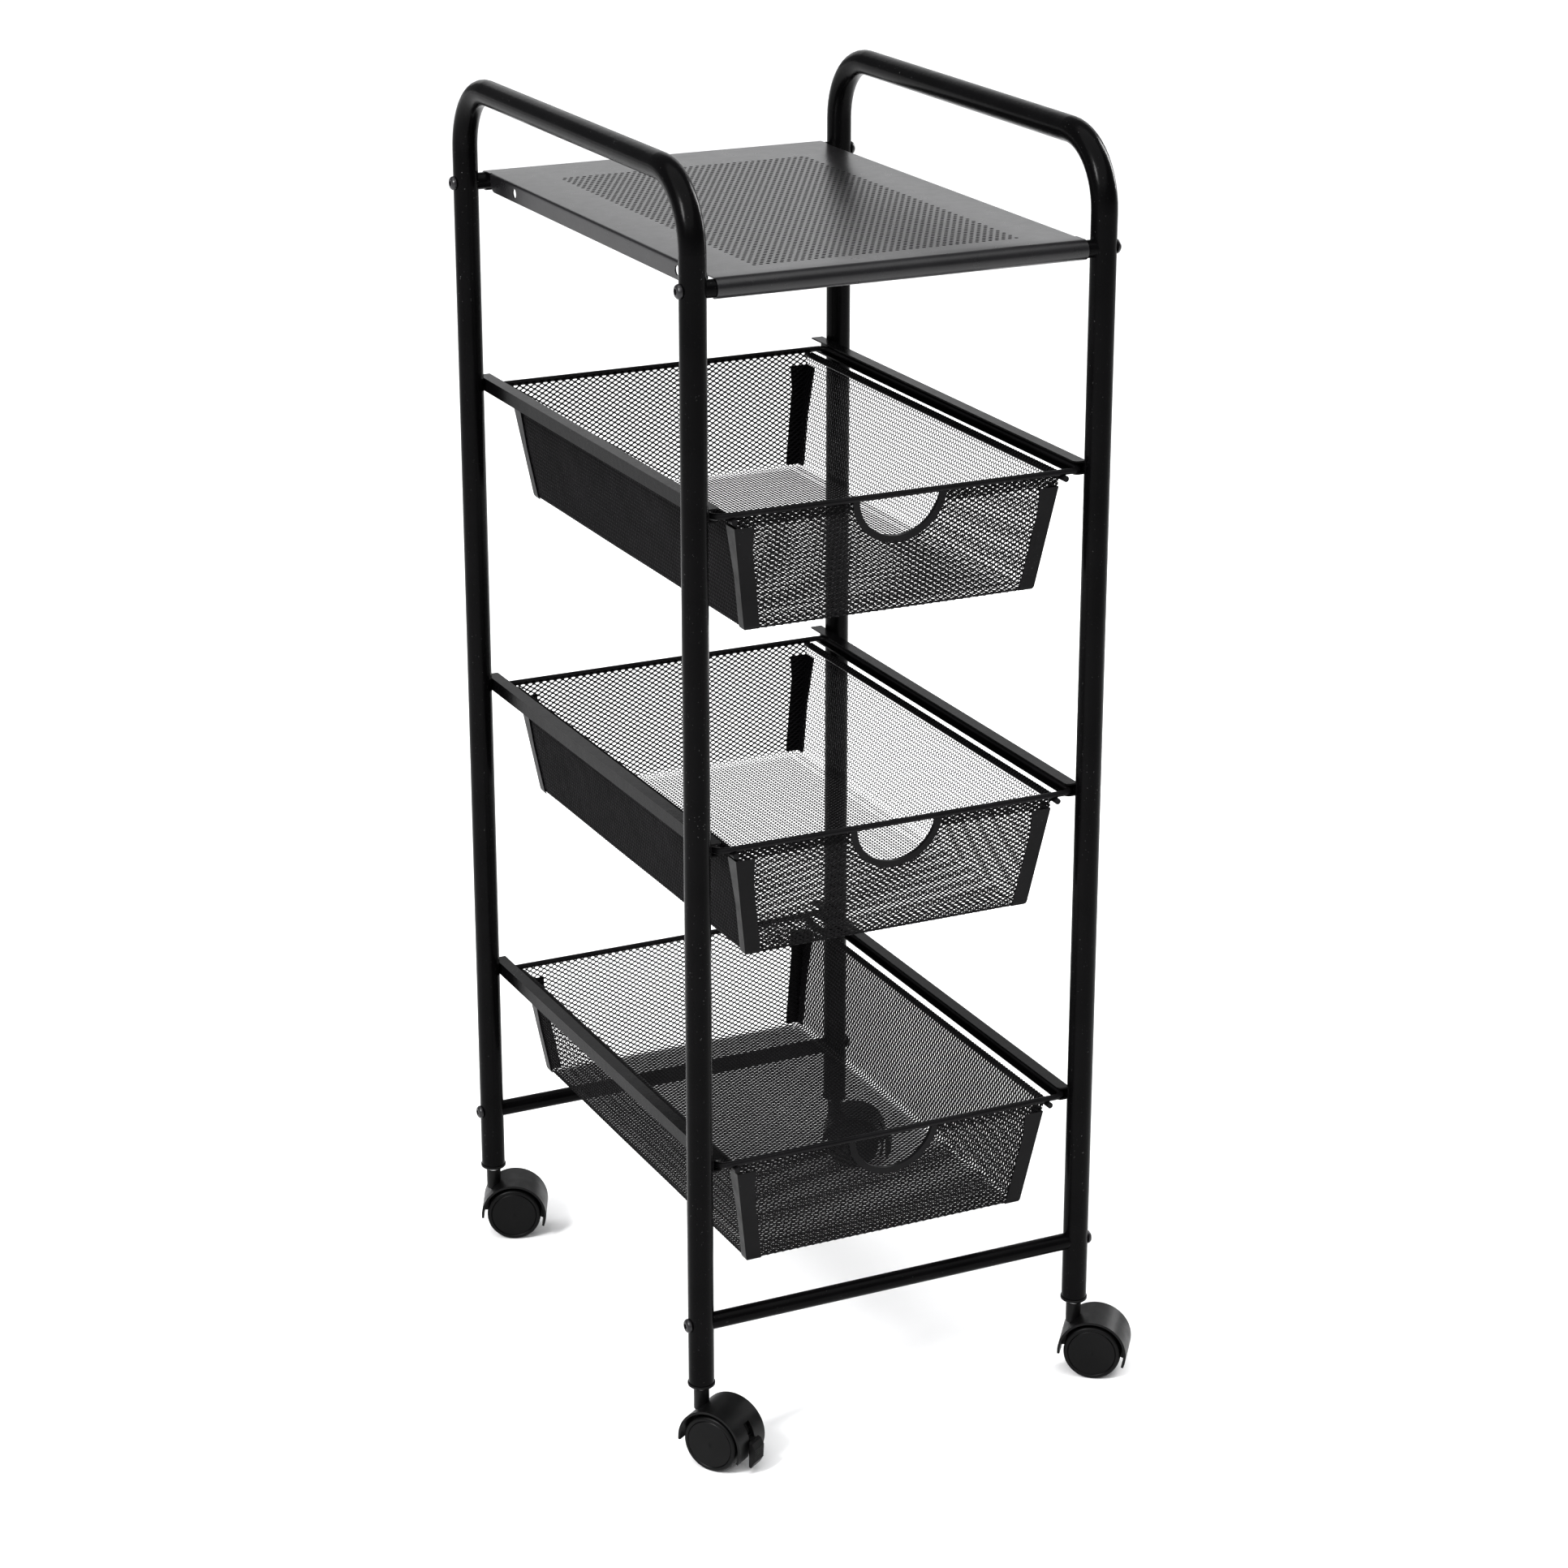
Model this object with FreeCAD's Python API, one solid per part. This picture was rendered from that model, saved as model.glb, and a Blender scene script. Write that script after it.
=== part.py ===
import FreeCAD, Part
import math
import os

V = FreeCAD.Vector

# A rolling cart: two bent tube side frames, four cross tubes, a folded sheet shelf, three wire and
# mesh drawers in channel rails, and four twin-wheel casters. Millimetres, +Z up, floor at Z = 0.
# +X is the cart's width, and -Y is the front, where the drawers come out.

# Side frames
POST_R = 9.5
POST_WALL = 1.2
POST_X = 158.0
POST_Y = 207.5
POST_FOOT_Z = 62.0
HANDLE_Z = 956.0
BEND_R = 50.0

# Cross tubes
TUBE_R = 6.35
TUBE_WALL = 1.0
TOP_TUBE_Z = 881.0
LOW_TUBE_Z = 110.0
COPE_GAP = 0.02

# Bolts and the threaded plugs they pull up against, inside the cross tubes' ends
BOLT_R = 3.0
BOLT_HOLE_R = 3.25
BOLT_HEAD_R = 5.25
BOLT_HEAD_H = 3.2
BOLT_RIM_H = 0.95
BOLT_SHOULDER = (2.55, 4.3)
BOLT_CROWN_R = 2.4
BOLT_LENGTH = 31.0
HEX_FLATS = 4.0
HEX_DEPTH = 2.0
PLUG_LENGTH = 14.0
PLUG_INSET = 0.6
THREAD_GAP = 0.02

# Shelf
SHEET = 1.0
SHELF_HALF_X = 142.5
SHELF_LIFT = 0.05
CURL_END_DEG = 200.0
FLANGE_H = 13.5
FLANGE_END_GAP = 11.0
FLANGE_CORNER_R = 8.0
FLANGE_HOLE_R = 3.6
FLANGE_HOLE_Y = 148.0
FLANGE_HOLE_DROP = 7.0

# Rails
RAIL_TOPS = {"top": 728.5, "middle": 484.5, "bottom": 240.5}
RAIL_SHEET = 1.2
RAIL_H = 10.0
RAIL_W = 9.5
RAIL_FRONT_Y = -208.5
RAIL_REAR_Y = 217.0
RAIL_CORNER_R = 4.0

# Drawers. Heights in a drawer are measured from the centre of its wire loop.
WIRE_R = 2.2
WIRE_DROP = 6.3
WIRE_BEND_R = 9.0
LOOP_HALF_X = 144.5
LOOP_FRONT_Y = -209.0
LOOP_REAR_Y = 204.0
RIM_X = 130.0
RIM_OVERHANG = 3.5
MESH = 1.2
BASKET_TOP = -1.0
BASKET_BOTTOM = -90.0
BASKET_TOP_HALF = (128.2, 204.4)
BASKET_BOTTOM_HALF = (114.0, 191.5)
BASKET_FOLD_R = 5.0
FINGER_R = 32.0
TRIM_W = 5.0
TRIM_SHEET = 1.0
TRIM_COLLAR = 2.2
TRIM_TOP = -2.6
GUARD_SHEET = 0.8
GUARD_GAP = 0.05
GUARD_TOP = -11.0
GUARD_FOOT = -88.6
GUARD_FRONT_W = (12.3, 12.2)
GUARD_SIDE_W = (8.4, 8.8)
GUARD_LEAF_BACK = 2.0

# Casters, in a frame whose origin is on the floor under the stem, with the wheels trailing to +X
TRAIL = 17.0
WHEEL_R = 22.0
WHEEL_IN_Y = 3.2
WHEEL_OUT_Y = 17.4
WHEEL_BEVEL = 1.2
WHEEL_SHOULDER = 2.2
WHEEL_GROOVE_R = 18.4
WHEEL_GROOVE = 0.5
WHEEL_CROWN = 0.6
WHEEL_CAP = 2.4
WHEEL_WEB = 1.0
WHEEL_RIM_IN_R = 18.6
WHEEL_HUB_R = 6.0
AXLE_R = 3.0
AXLE_RUN = 0.05
AXLE_HALF = 14.6
HOOD_R = 26.6
HOOD_WALL = 1.8
HOOD_HALF_Y = 18.0
HOOD_STEM_SIDE_DEG = 5.0
HOOD_TRAIL_SIDE_DEG = 22.0
WEB_HALF_Y = 2.5
BOSS_R = 6.0
NECK_R = 5.7
NECK_TOP_Z = 56.9
NECK_FLOOR_Z = 40.6
NECK_WHEEL_GAP = 0.9
STEM_R = 4.0
STEM_FOOT_Z = 42.0
STEM_TOP_Z = 88.0
STEM_RUN = 0.05
COLLAR_R = 5.4
COLLAR_Z = (57.2, 59.5)
SOCKET_RING_R = 10.2
SOCKET_RING_H = 2.5
SOCKET_LENGTH = 32.0
SOCKET_GAP = 0.02

# Brake levers on two casters, in the hood's mid-plane and measured from the wheels' centre
LEVER_PIN = (12.0, 2.6)
LEVER_PIN_R = 1.25
LEVER_PIN_RUN = 0.05
LEVER_HUB_R = 2.8
LEVER_HALF_Y = 1.2
ARM_HALF_Z = 2.0
LEVER_POCKET_GAP = 0.35
LEVER_POCKET_Z = (-8.0, 4.0)
SHOE_IN_R = 22.7
SHOE_OUT_R = 24.3
SHOE_HALF_Y = 11.0
SHOE_HALF_Z = 3.0
SLOT_HALF_Y = 3.6
SLOT_FLOOR_R = 21.6
SLOT_TOP_DEG = 38.0
NECK_IN_X = 23.2
PEDAL_NECK_HALF_Y = 3.0
PEDAL_HALF_Y = 6.5
PEDAL_IN_X = 27.5
PEDAL_OUTLINE = ((27.5, 4.4), (30.4, 3.4), (32.4, -0.8), (31.8, -12.2), (29.2, -16.8), (27.5, -16.0))
PEDAL_RIBBED = (2, 3)
RIB_COUNT = 7
RIB_R = 0.6

# Where each caster stands, and how far it is turned about its stem
CASTERS = {
    "front_left": (-POST_X, -POST_Y, -56.0),
    "front_right": (POST_X, -POST_Y, -37.0),
    "rear_left": (-POST_X, POST_Y, -25.0),
    "rear_right": (POST_X, POST_Y, -30.0),
}
BRAKED = ("front_left", "rear_right")

X_AXIS = V(1, 0, 0)
Y_AXIS = V(0, 1, 0)
Z_AXIS = V(0, 0, 1)
ORIGIN = V(0, 0, 0)
FAR = 60.0
WIDE = 240.0
PAST = 1.0
TINY = 0.1


def box(x, y, z):
    """A block between the pairs of limits x, y and z."""
    return Part.makeBox(x[1] - x[0], y[1] - y[0], z[1] - z[0], V(x[0], y[0], z[0]))


def rod(radius, start, end):
    """A round bar between two points."""
    span = end - start
    return Part.makeCylinder(radius, span.Length, start, span)


def prism(points, depth):
    """A flat outline pushed along depth."""
    return Part.Face(Part.makePolygon(points + points[:1])).extrude(depth)


def fused(shapes):
    """Several touching or overlapping shapes as one solid."""
    whole = shapes[0].multiFuse(shapes[1:])
    return whole.removeSplitter()


def mirrored_x(shape):
    return shape.mirror(ORIGIN, X_AXIS)


def mirrored_y(shape):
    return shape.mirror(ORIGIN, Y_AXIS)


def bent_bar(points, bend, radius, closed=False):
    """A round bar along straight runs whose corners are bent to one centreline radius."""
    corners = points if closed else points[1:-1]
    stops = []
    for corner in corners:
        at = points.index(corner)
        before = (points[at - 1] - corner).normalize()
        after = (points[(at + 1) % len(points)] - corner).normalize()
        reach = bend / math.tan(before.getAngle(after) / 2)
        middle = (before + after).normalize()
        to_arc = bend / math.sin(before.getAngle(after) / 2) - bend
        stops.append((corner + before * reach, corner + middle * to_arc, corner + after * reach))
    edges = []
    last = stops[-1][2] if closed else points[0]
    for start, mid, end in stops:
        edges.append(Part.makeLine(last, start))
        edges.append(Part.Arc(start, mid, end).toShape())
        last = end
    if not closed:
        edges.append(Part.makeLine(last, points[-1]))
    path = Part.Wire(edges)
    first = edges[0]
    heading = first.tangentAt(first.FirstParameter)
    section = Part.Wire(Part.makeCircle(radius, first.valueAt(first.FirstParameter), heading))
    return path.makePipeShell([section], True, True)


def side_frame():
    """The right side: one tube bent into an upside-down U, its top run being the handle."""
    foot = POST_FOOT_Z
    points = [V(POST_X, -POST_Y, foot), V(POST_X, -POST_Y, HANDLE_Z)]
    points += [V(POST_X, POST_Y, HANDLE_Z), V(POST_X, POST_Y, foot)]
    tube = bent_bar(points, BEND_R, POST_R).cut(bent_bar(points, BEND_R, POST_R - POST_WALL))
    for y, z in cross_tube_places():
        inner = V(POST_X - POST_R - PAST, y, z)
        outer = V(POST_X + POST_R + PAST, y, z)
        tube = tube.cut(rod(BOLT_HOLE_R, inner, outer))
    return tube


def cross_tube_places():
    """The Y and Z of the cross tubes' centrelines."""
    return [(y, z) for z in (TOP_TUBE_Z, LOW_TUBE_Z) for y in (-POST_Y, POST_Y)]


def cross_tube(y, z):
    """A tube between the side frames, its ends scooped to sit on the round posts."""
    left = V(-POST_X, y, z)
    right = V(POST_X, y, z)
    tube = rod(TUBE_R, left, right).cut(rod(TUBE_R - TUBE_WALL, left, right))
    for end in (left, right):
        foot = end - Z_AXIS * TUBE_R * 2
        head = end + Z_AXIS * TUBE_R * 2
        tube = tube.cut(rod(POST_R + COPE_GAP, foot, head))
    return tube


def frame_bolt():
    """The button-head bolt at the right, on the X axis and pointing to -X."""
    seat = POST_X + POST_R
    shank = rod(BOLT_R, V(seat - BOLT_LENGTH, 0, 0), V(seat, 0, 0))
    top = V(seat + BOLT_HEAD_H, 0, 0)
    foot = V(seat, 0, BOLT_HEAD_R)
    rim = V(seat + BOLT_RIM_H, 0, BOLT_HEAD_R)
    shoulder = V(seat + BOLT_SHOULDER[0], 0, BOLT_SHOULDER[1])
    crown = top + Z_AXIS * BOLT_CROWN_R
    outline = Part.Wire([
        Part.makeLine(V(seat, 0, 0), foot),
        Part.makeLine(foot, rim),
        Part.Arc(rim, shoulder, crown).toShape(),
        Part.makeLine(crown, top),
        Part.makeLine(top, V(seat, 0, 0)),
    ])
    head = Part.Face(outline).revolve(ORIGIN, X_AXIS, 360)
    corner_r = HEX_FLATS / 2 / math.cos(math.pi / 6)
    hexagon = []
    for step in range(6):
        turn = math.pi / 3 * step
        hexagon.append(top + V(0, corner_r * math.cos(turn), corner_r * math.sin(turn)))
    return fused([shank, head]).cut(prism(hexagon, V(-HEX_DEPTH, 0, 0)))


def tube_plug():
    """The threaded plug pressed into the right end of a cross tube, on the X axis."""
    outer = POST_X - POST_R - PLUG_INSET
    start = V(outer - PLUG_LENGTH, 0, 0)
    end = V(outer, 0, 0)
    return rod(TUBE_R - TUBE_WALL, start, end).cut(rod(BOLT_R + THREAD_GAP, start, end))


def at_every_tube_end(shape):
    """Copies of a right-hand shape at all eight cross tube ends."""
    copies = []
    for y, z in cross_tube_places():
        right = shape.copy()
        right.translate(V(0, y, z))
        copies += [right, mirrored_x(right)]
    return Part.makeCompound(copies)


def shelf_curl():
    """The front edge of the shelf, rolled over and under the top front tube."""
    inner_r = TUBE_R + SHELF_LIFT
    centre = V(-SHELF_HALF_X, -POST_Y, TOP_TUBE_Z)

    def point(radius, turn_deg):
        turn = math.radians(90 + turn_deg)
        return centre + V(0, radius * math.cos(turn), radius * math.sin(turn))

    outer = Part.Arc(*[point(inner_r + SHEET, a) for a in (0, CURL_END_DEG / 2, CURL_END_DEG)])
    inner = Part.Arc(*[point(inner_r, a) for a in (CURL_END_DEG, CURL_END_DEG / 2, 0)])
    lip = Part.makeLine(point(inner_r + SHEET, CURL_END_DEG), point(inner_r, CURL_END_DEG))
    root = Part.makeLine(point(inner_r, 0), point(inner_r + SHEET, 0))
    outline = Part.Wire([outer.toShape(), lip, inner.toShape(), root])
    return Part.Face(outline).extrude(V(2 * SHELF_HALF_X, 0, 0))


def shelf_top_z():
    return TOP_TUBE_Z + TUBE_R + SHELF_LIFT + SHEET


def shelf_flange():
    """The right edge of the shelf, folded down, with rounded ends and a hole near each end."""
    top = shelf_top_z()
    half = POST_Y - FLANGE_END_GAP
    outer = (SHELF_HALF_X - SHEET, SHELF_HALF_X)
    flange = box(outer, (-half, half), (top - FLANGE_H, top))
    low_ends = []
    for edge in flange.Edges:
        middle = edge.CenterOfMass
        along_x = abs(edge.BoundBox.XLength - SHEET) < SHEET / 2
        if along_x and middle.z < top - FLANGE_H / 2:
            low_ends.append(edge)
    flange = flange.makeFillet(FLANGE_CORNER_R, low_ends)
    for y in (-FLANGE_HOLE_Y, FLANGE_HOLE_Y):
        inner = V(outer[0] - SHEET, y, top - FLANGE_HOLE_DROP)
        flange = flange.cut(rod(FLANGE_HOLE_R, inner, inner + X_AXIS * 3 * SHEET))
    return flange


def shelf_panel():
    top = shelf_top_z()
    width = (-SHELF_HALF_X, SHELF_HALF_X)
    plate = box(width, (-POST_Y, POST_Y), (top - SHEET, top))
    curl = shelf_curl()
    flange = shelf_flange()
    return fused([plate, curl, mirrored_y(curl), flange, mirrored_x(flange)])


def rail(top):
    """A right-hand channel rail, open toward the drawer, its front inner corner rounded in plan."""
    outer = POST_X - POST_R
    inner = outer - RAIL_W
    length = (RAIL_FRONT_Y, RAIL_REAR_Y)
    bar = box((inner, outer), length, (top - RAIL_H, top))
    upright = [edge for edge in bar.Edges if edge.BoundBox.ZLength > RAIL_H / 2]
    inner_front = [edge for edge in upright if edge.BoundBox.XMax < outer and edge.BoundBox.YMax < 0]
    bar = bar.makeFillet(RAIL_CORNER_R, inner_front)
    run = (inner - PAST, outer - RAIL_SHEET)
    ends = (length[0] - PAST, length[1] + PAST)
    return bar.cut(box(run, ends, (top - RAIL_H + RAIL_SHEET, top - RAIL_SHEET)))


def wire_loop(z):
    """The drawer's outer wire: its sides run in the rails, and its ends carry the basket."""
    x = LOOP_HALF_X
    points = [V(-x, LOOP_FRONT_Y, z), V(x, LOOP_FRONT_Y, z)]
    points += [V(x, LOOP_REAR_Y, z), V(-x, LOOP_REAR_Y, z)]
    return bent_bar(points, WIRE_BEND_R, WIRE_R, closed=True)


def rim_rods(z):
    """The two wires along the basket's sides, under the loop's front and rear runs."""
    low = z - 2 * WIRE_R
    rods = []
    for x in (-RIM_X, RIM_X):
        front = V(x, LOOP_FRONT_Y - RIM_OVERHANG, low)
        rods.append(rod(WIRE_R, front, V(x, LOOP_REAR_Y + RIM_OVERHANG, low)))
    return Part.makeCompound(rods)


def loop_centre_y():
    return (LOOP_FRONT_Y + LOOP_REAR_Y) / 2


def basket_half(z, axis):
    """Half the basket's outer width (axis 0) or length (axis 1) at a height below the loop."""
    share = (z - BASKET_BOTTOM) / (BASKET_TOP - BASKET_BOTTOM)
    return BASKET_BOTTOM_HALF[axis] + share * (BASKET_TOP_HALF[axis] - BASKET_BOTTOM_HALF[axis])


def tapered_block(grow, low, high, fold_r):
    """The basket's outer shape, grown sideways and cut at two heights, with a rounded base."""
    wires = []
    for z in (low, high):
        x = basket_half(z, 0) + grow
        y = basket_half(z, 1) + grow
        middle = loop_centre_y()
        corners = [V(-x, middle - y, z), V(x, middle - y, z), V(x, middle + y, z), V(-x, middle + y, z)]
        wires.append(Part.makePolygon(corners + corners[:1]))
    block = Part.makeLoft(wires, True, True)
    base = [edge for edge in block.Edges if edge.BoundBox.ZMax < low + TINY]
    return block.makeFillet(fold_r, base)


def finger_hole(radius):
    """A bar through the basket's front wall, centred on the loop's height."""
    start = V(0, LOOP_FRONT_Y - FAR / 4, 0)
    return rod(radius, start, start + Y_AXIS * FAR / 2)


def basket():
    """The mesh tray as a plain sheet shape, open at the top, with the finger cut-out in front."""
    outer = tapered_block(0, BASKET_BOTTOM, BASKET_TOP, BASKET_FOLD_R)
    inner = tapered_block(-MESH, BASKET_BOTTOM + MESH, BASKET_TOP + PAST, BASKET_FOLD_R - MESH)
    return outer.cut(inner).cut(finger_hole(FINGER_R + TRIM_W / 2))


def handle_trim():
    """The half ring round the finger cut-out: flat on the front wall, with a collar through it."""
    grow = GUARD_GAP + TRIM_SHEET
    skin = tapered_block(grow, BASKET_BOTTOM, BASKET_TOP, BASKET_FOLD_R)
    over_wall = skin.cut(tapered_block(GUARD_GAP, BASKET_BOTTOM - PAST, BASKET_TOP + PAST, BASKET_FOLD_R))
    through = skin.cut(tapered_block(-TRIM_COLLAR, BASKET_BOTTOM - PAST, BASKET_TOP + PAST, BASKET_FOLD_R))
    ring = finger_hole(FINGER_R + TRIM_W).cut(finger_hole(FINGER_R))
    collar = finger_hole(FINGER_R + TRIM_W / 2 - GUARD_GAP).cut(finger_hole(FINGER_R))
    reach = (-FAR, FAR)
    below = box(reach, (LOOP_FRONT_Y - FAR, LOOP_FRONT_Y + FAR), (-FAR, TRIM_TOP))
    return fused([over_wall.common(ring), through.common(collar)]).common(below)


def corner_guards():
    """Four folded sheet guards outside the basket's corners."""
    grow = GUARD_GAP + GUARD_SHEET
    skin = tapered_block(grow, BASKET_BOTTOM - GUARD_SHEET, BASKET_TOP, BASKET_FOLD_R + GUARD_SHEET)
    skin = skin.cut(tapered_block(GUARD_GAP, BASKET_BOTTOM - GUARD_GAP, BASKET_TOP + PAST, BASKET_FOLD_R))
    high = GUARD_TOP
    low = GUARD_FOOT
    middle = loop_centre_y()
    front = [V(basket_half(high, 0) + grow - GUARD_FRONT_W[0], 0, high), V(WIDE, 0, high)]
    front += [V(WIDE, 0, low), V(basket_half(low, 0) + grow - GUARD_FRONT_W[1], 0, low)]
    front = prism(front, V(0, -WIDE, 0))
    side = [V(0, -basket_half(high, 1) - grow + GUARD_SIDE_W[0], high), V(0, -WIDE, high)]
    side += [V(0, -WIDE, low), V(0, -basket_half(low, 1) - grow + GUARD_SIDE_W[1], low)]
    side = prism(side, V(WIDE, 0, 0))
    front_reach = box((0, WIDE), (-WIDE, GUARD_LEAF_BACK - basket_half(low, 1)), (low, high))
    side_reach = box((basket_half(low, 0) - GUARD_LEAF_BACK, WIDE), (-WIDE, 0), (low, high))
    corner = fused([front.common(front_reach), side.common(side_reach)])
    corner.translate(V(0, middle, 0))
    guard = skin.common(corner)
    left = mirrored_x(guard)
    rear = [part.mirror(V(0, middle, 0), Y_AXIS) for part in (guard, left)]
    return Part.makeCompound([guard, left] + rear)


def caster_socket():
    """The plastic plug in a post's foot, with a ring below it and a bore for the stem."""
    foot = POST_FOOT_Z
    plug_r = POST_R - POST_WALL - SOCKET_GAP
    plug = rod(plug_r, V(0, 0, foot), V(0, 0, foot + SOCKET_LENGTH))
    ring = rod(SOCKET_RING_R, V(0, 0, foot - SOCKET_RING_H), V(0, 0, foot - SOCKET_GAP))
    ring_edges = [edge for edge in ring.Edges if edge.BoundBox.ZMax < foot - SOCKET_RING_H + TINY]
    ring = ring.makeChamfer(SOCKET_RING_H / 3, ring_edges)
    joint = rod(plug_r, V(0, 0, foot - SOCKET_RING_H), V(0, 0, foot + PAST))
    bore = rod(STEM_R + SOCKET_GAP, ORIGIN, V(0, 0, STEM_TOP_Z + PAST))
    return fused([plug, ring, joint]).cut(bore)


def caster_stem():
    """The steel stem held in the socket, with a collar that carries the hood."""
    pin = rod(STEM_R, V(0, 0, STEM_FOOT_Z), V(0, 0, STEM_TOP_Z))
    tip = [edge for edge in pin.Edges if edge.BoundBox.ZMin > STEM_TOP_Z - TINY]
    pin = pin.makeChamfer(STEM_R / 4, tip)
    collar = rod(COLLAR_R, V(0, 0, COLLAR_Z[0]), V(0, 0, COLLAR_Z[1] - SOCKET_GAP))
    return fused([pin, collar])


def across(radius, half, x=0.0, z=0.0):
    """A bar parallel to the axle, placed from the wheels' centre."""
    middle = V(TRAIL + x, 0, WHEEL_R + z)
    return rod(radius, middle - Y_AXIS * half, middle + Y_AXIS * half)


def below_hood():
    """Everything under the hood's two lower edges."""
    low = -FAR * 2
    stem_side = V(-FAR, 0, -FAR * math.tan(math.radians(HOOD_STEM_SIDE_DEG)))
    trail_side = V(FAR, 0, -FAR * math.tan(math.radians(HOOD_TRAIL_SIDE_DEG)))
    outline = [V(0, 0, 0), stem_side, V(-FAR, 0, low), V(FAR, 0, low), trail_side]
    move = V(TRAIL, -FAR / 2, WHEEL_R)
    return prism([point + move for point in outline], V(0, FAR, 0))


def caster_hood(braked):
    """The plastic hood: a shell over both wheels, a web between them, and the stem's neck."""
    underside = below_hood()
    shell = across(HOOD_R, HOOD_HALF_Y).cut(across(HOOD_R - HOOD_WALL, HOOD_HALF_Y + PAST)).cut(underside)
    web = across(HOOD_R - HOOD_WALL / 2, WEB_HALF_Y).cut(underside)
    boss = across(BOSS_R, WEB_HALF_Y)
    neck = rod(NECK_R, V(0, 0, NECK_FLOOR_Z), V(0, 0, NECK_TOP_Z))
    neck = neck.cut(across(WHEEL_R + NECK_WHEEL_GAP, HOOD_HALF_Y))
    hood = fused([shell, web, boss, neck])
    hood = hood.cut(rod(STEM_R + STEM_RUN, V(0, 0, NECK_FLOOR_Z + PAST), V(0, 0, NECK_TOP_Z + PAST)))
    hood = hood.cut(across(AXLE_R, HOOD_HALF_Y))
    return hood.cut(lever_room()) if braked else hood


def lever_room():
    """The slot and pocket in a braked hood, and the bore for the lever's pin."""
    x, z = LEVER_PIN
    gap = LEVER_POCKET_GAP
    outer = V(TRAIL + FAR, 0, WHEEL_R - FAR / 2)
    top_turn = math.radians(SLOT_TOP_DEG)
    top = V(TRAIL + FAR * math.cos(top_turn), 0, WHEEL_R + FAR * math.sin(top_turn))
    wedge = prism([V(TRAIL, 0, WHEEL_R), outer, top], V(0, 2 * SLOT_HALF_Y, 0))
    wedge.translate(V(0, -SLOT_HALF_Y, 0))
    slot = wedge.cut(across(SLOT_FLOOR_R, FAR))
    pocket_half = LEVER_HALF_Y + gap
    hub = across(LEVER_HUB_R + gap, pocket_half, x, z)
    length = (TRAIL + x, TRAIL + HOOD_R + PAST)
    height = [WHEEL_R + z + reach for reach in LEVER_POCKET_Z]
    arm = box(length, (-pocket_half, pocket_half), height)
    pin = across(LEVER_PIN_R, WEB_HALF_Y + PAST, x, z)
    return slot.multiFuse([hub, arm, pin])


def brake_lever():
    """The pedal behind the hood, its arm between the wheels, and the shoe over both treads."""
    x, z = LEVER_PIN
    hub = across(LEVER_HUB_R, LEVER_HALF_Y, x, z)
    arm_z = (WHEEL_R + z - ARM_HALF_Z, WHEEL_R + z + ARM_HALF_Z)
    arm = box((TRAIL + x, TRAIL + PEDAL_IN_X), (-LEVER_HALF_Y, LEVER_HALF_Y), arm_z)
    shoe = across(SHOE_OUT_R, SHOE_HALF_Y).cut(across(SHOE_IN_R, SHOE_HALF_Y + PAST))
    reach = (TRAIL, TRAIL + FAR)
    shoe = shoe.common(box(reach, (-FAR, FAR), (WHEEL_R + z - SHOE_HALF_Z, WHEEL_R + z + SHOE_HALF_Z)))
    neck_x = (TRAIL + NECK_IN_X, TRAIL + PEDAL_IN_X + PAST)
    neck = box(neck_x, (-PEDAL_NECK_HALF_Y, PEDAL_NECK_HALF_Y), arm_z)
    lever = fused([hub, arm, shoe, neck, pedal()])
    return lever.cut(across(LEVER_PIN_R + LEVER_PIN_RUN, LEVER_HALF_Y + PAST, x, z))


def pedal():
    """The ribbed foot plate, thin at its lower end."""
    outline = [V(x, 0, z) for x, z in PEDAL_OUTLINE]
    move = V(TRAIL, -PEDAL_HALF_Y, WHEEL_R)
    plate = prism([point + move for point in outline], V(0, 2 * PEDAL_HALF_Y, 0))
    ribs = [plate]
    top, foot = (outline[corner] for corner in PEDAL_RIBBED)
    for step in range(RIB_COUNT):
        place = top + (foot - top) * ((step + 0.5) / RIB_COUNT)
        ribs.append(across(RIB_R, PEDAL_HALF_Y, place.x, place.z))
    return fused(ribs)


def caster_axle():
    return across(AXLE_R, AXLE_HALF)


def lever_pin():
    """The pin in the hood's web that the brake lever turns on."""
    x, z = LEVER_PIN
    return across(LEVER_PIN_R, WEB_HALF_Y, x, z)


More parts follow.
